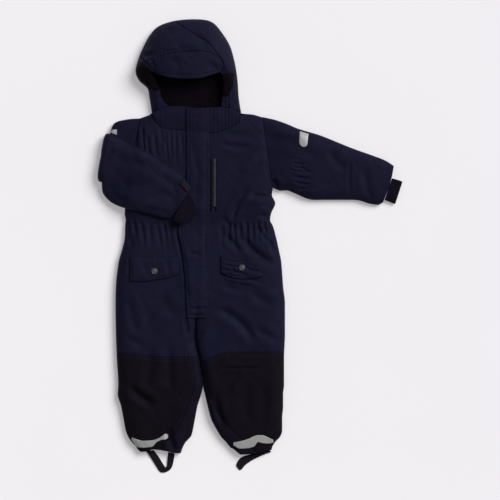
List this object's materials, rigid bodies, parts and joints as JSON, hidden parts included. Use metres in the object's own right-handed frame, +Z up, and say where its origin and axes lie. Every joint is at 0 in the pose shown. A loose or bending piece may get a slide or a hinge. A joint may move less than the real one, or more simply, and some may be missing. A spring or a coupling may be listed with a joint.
{
  "type": "baby snowsuit",
  "caption": "Padded one-piece toddler snowsuit with a hood, laid flat on its back with one sleeve folded over the chest.",
  "frame": {"origin": "on the surface that the garment lies on, below the middle of its whole outline", "axes": "+Z up out of the surface, +Y along the body towards the hood, +X towards the wearer's left"},
  "size_m": [0.6551, 0.9744, 0.0579],
  "materials": {
    "shell": "dark navy woven nylon, padded, matt",
    "reinforcement": "black coated woven nylon, matt",
    "lining": "near-black brushed lining",
    "rib_knit": "near-black rib knit",
    "webbing": "black woven webbing",
    "reflective": "silver-grey reflective film on cloth",
    "zip_tape": "dark olive-grey zip teeth and tape",
    "snap_metal": "dull grey snap cap"
  },
  "bodies": {
    "root": {"back_right": "shell", "back_left": "shell", "front_right": "shell", "front_left": "shell", "gusset_right": "shell", "gusset_left": "shell", "collar_right": "shell", "collar_left": "shell", "sleeve_left_front": "shell", "sleeve_left_back": "shell", "sleeve_right_front": "shell", "sleeve_right_back": "shell", "hood_brim": "shell", "hood_crown": "shell", "hood_side_right": "shell", "hood_side_left": "shell", "hood_back": "shell", "storm_flap": "shell", "chest_welt_right": "shell", "chest_welt_left": "shell", "hip_flap_right": "shell", "hip_flap_left": "shell", "knee_right": "reinforcement", "knee_left": "reinforcement", "hood_lining": "lining", "hood_edge_right": "lining", "hood_edge_left": "lining", "rib_cuff_left": "rib_knit", "rib_cuff_right": "rib_knit", "foot_strap_right": "webbing", "foot_strap_left": "webbing", "wrist_tab_right": "webbing", "ankle_mark_right": "reflective", "ankle_mark_left": "reflective", "sleeve_mark_left": "reflective", "sleeve_mark_right": "reflective", "chest_zip": "zip_tape", "snap_right": "snap_metal", "snap_left": "snap_metal"}
  },
  "joints": []
}
